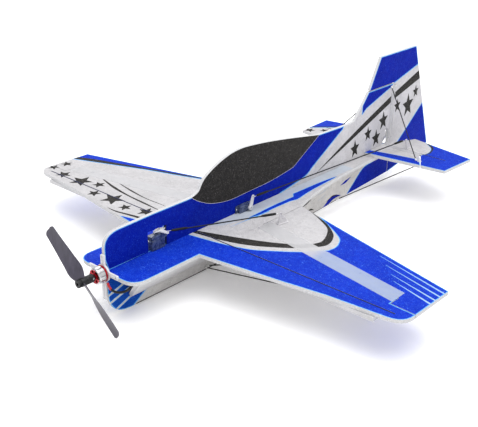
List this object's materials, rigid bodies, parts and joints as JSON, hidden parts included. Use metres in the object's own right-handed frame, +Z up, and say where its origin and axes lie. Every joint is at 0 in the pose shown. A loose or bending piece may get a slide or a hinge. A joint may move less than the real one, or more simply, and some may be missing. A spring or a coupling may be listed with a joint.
{
  "type": "rc foam airplane",
  "caption": "Electric radio-controlled aerobatic aeroplane of printed flat foam sheet, with carbon bracing, a front outrunner and servo-driven ailerons, elevator and rudder.",
  "frame": {"origin": "on the plane that the keel rests on, under the middle of the bounding box", "axes": "-Y towards the nose, +X towards the left wing tip, +Z up"},
  "size_m": [0.8, 0.95, 0.2703],
  "materials": {
    "foam_print": "fine-beaded foam sheet with printed graphics",
    "foam_plain": "white foam, cut face",
    "tape": "clear film tape",
    "carbon": "pultruded carbon rod and strip",
    "white_plastic": "moulded plastic",
    "servo_case": "tinted translucent plastic",
    "prop_plastic": "moulded glass-filled plastic",
    "can_silver": "turned steel can",
    "base_red": "red anodised",
    "black_metal": "black anodised",
    "wire_black": "silicone wire",
    "electronics": "shrink-wrapped circuit board and cells",
    "wire_steel": "spring wire"
  },
  "bodies": {
    "airframe": {"wing_plate": "foam_print", "fuselage_upper": "foam_print", "fuselage_keel": "foam_print", "side_panel_left": "foam_plain", "side_panel_right": "foam_plain", "stabilizer": "foam_print", "wing_doubler_left": "foam_plain", "wing_doubler_right": "foam_plain", "aileron_tape_left": "tape", "aileron_tape_right": "tape", "elevator_tape_left": "tape", "elevator_tape_right": "tape", "rudder_tape": "tape", "wing_spar": "carbon", "keel_strip": "carbon", "fin_brace_left": "carbon", "fin_brace_right": "carbon", "stab_brace_left": "carbon", "stab_brace_right": "carbon", "wing_brace_front_left": "carbon", "wing_brace_front_right": "carbon", "wing_brace_rear_left": "carbon", "wing_brace_rear_right": "carbon", "motor_mount": "white_plastic", "motor_base": "base_red", "motor_leads": "wire_black", "speed_controller": "electronics", "receiver": "electronics", "battery": "electronics", "aileron_servo": "servo_case", "elevator_servo": "servo_case", "rudder_servo": "servo_case"},
    "prop_rotor": {"motor_bell": "can_silver", "prop_adapter": "black_metal", "propeller": "prop_plastic", "prop_bolt": "black_metal"},
    "aileron_left_body": {"aileron_left": "foam_print", "aileron_horn_left": "white_plastic"},
    "aileron_right_body": {"aileron_right": "foam_print", "aileron_horn_right": "white_plastic"},
    "elevator_body": {"elevator": "foam_print", "elevator_strip": "carbon", "elevator_horn": "white_plastic"},
    "rudder_body": {"rudder": "foam_print", "rudder_horn": "white_plastic"},
    "aileron_arm_body": {"aileron_servo_arm": "white_plastic"},
    "elevator_arm_body": {"elevator_servo_arm": "white_plastic"},
    "rudder_arm_body": {"rudder_servo_arm": "white_plastic"},
    "aileron_rod_left_body": {"aileron_pushrod_left_rod": "carbon", "aileron_pushrod_left_front_wire": "wire_steel", "aileron_pushrod_left_rear_wire": "wire_steel"},
    "aileron_rod_right_body": {"aileron_pushrod_right_rod": "carbon", "aileron_pushrod_right_front_wire": "wire_steel", "aileron_pushrod_right_rear_wire": "wire_steel"},
    "elevator_rod_body": {"elevator_pushrod_rod": "carbon", "elevator_pushrod_front_wire": "wire_steel", "elevator_pushrod_rear_wire": "wire_steel"},
    "rudder_rod_body": {"rudder_pushrod_rod": "carbon", "rudder_pushrod_front_wire": "wire_steel", "rudder_pushrod_rear_wire": "wire_steel"}
  },
  "joints": [
    {"name": "prop_spin", "type": "hinge", "parent": "airframe", "child": "prop_rotor", "pos_m": [0, -0.4655, 0.0773], "axis": [0, -1, 0], "continuous": true},
    {"name": "aileron_left_hinge", "type": "hinge", "parent": "airframe", "child": "aileron_left_body", "pos_m": [0.359, -0.1975, 0.0793], "axis": [0.984, -0.1781, 0], "range_deg": [-20, 20]},
    {"name": "aileron_right_hinge", "type": "hinge", "parent": "airframe", "child": "aileron_right_body", "pos_m": [-0.359, -0.1975, 0.0793], "axis": [0.984, 0.1781, 0], "range_deg": [-20, 20]},
    {"name": "aileron_servo_shaft", "type": "hinge", "parent": "airframe", "child": "aileron_arm_body", "pos_m": [0, -0.315, 0.1073], "axis": [0, 0, 1], "range_deg": [-26, 26]},
    {"name": "aileron_rod_left_pin", "type": "hinge", "parent": "aileron_arm_body", "child": "aileron_rod_left_body", "pos_m": [0.01588, -0.31308, 0.1073], "axis": [0.0705, -0.0759, 0.9946], "range_deg": [-27, 27]},
    {"name": "aileron_rod_right_pin", "type": "hinge", "parent": "aileron_arm_body", "child": "aileron_rod_right_body", "pos_m": [-0.01588, -0.31308, 0.1073], "axis": [-0.0705, -0.0759, 0.9946], "range_deg": [-27, 27]},
    {"name": "elevator_hinge", "type": "hinge", "parent": "airframe", "child": "elevator_body", "pos_m": [0, 0.299, 0.0856], "axis": [1, 0, 0], "range_deg": [-30, 30]},
    {"name": "elevator_servo_shaft", "type": "hinge", "parent": "airframe", "child": "elevator_arm_body", "pos_m": [0.0152, -0.12, 0.0859], "axis": [1, 0, 0], "range_deg": [-30, 30]},
    {"name": "elevator_rod_pin", "type": "hinge", "parent": "elevator_arm_body", "child": "elevator_rod_body", "pos_m": [0.0152, -0.114, 0.1049], "axis": [1, 0, 0], "range_deg": [-30, 30]},
    {"name": "rudder_hinge", "type": "hinge", "parent": "airframe", "child": "rudder_body", "pos_m": [0.003, 0.322, 0.1393], "axis": [0, 0, 1], "range_deg": [-30, 30]},
    {"name": "rudder_servo_shaft", "type": "hinge", "parent": "airframe", "child": "rudder_arm_body", "pos_m": [-0.0094, -0.088, 0.1073], "axis": [0, 0, 1], "range_deg": [-30, 30]},
    {"name": "rudder_rod_pin", "type": "hinge", "parent": "rudder_arm_body", "child": "rudder_rod_body", "pos_m": [-0.0294, -0.078, 0.1073], "axis": [0, 0, 1], "range_deg": [-30, 30]}
  ],
  "couplings": [
    {"joint": "aileron_right_hinge", "follows": "aileron_left_hinge", "ratio": -1},
    {"joint": "aileron_servo_shaft", "follows": "aileron_left_hinge", "ratio": -1.2641},
    {"joint": "aileron_rod_left_pin", "follows": "aileron_left_hinge", "ratio": 1.3033},
    {"joint": "aileron_rod_right_pin", "follows": "aileron_left_hinge", "ratio": 1.3033},
    {"joint": "elevator_servo_shaft", "follows": "elevator_hinge", "ratio": 1},
    {"joint": "elevator_rod_pin", "follows": "elevator_hinge", "ratio": -1},
    {"joint": "rudder_servo_shaft", "follows": "rudder_hinge", "ratio": 1},
    {"joint": "rudder_rod_pin", "follows": "rudder_hinge", "ratio": -1}
  ]
}
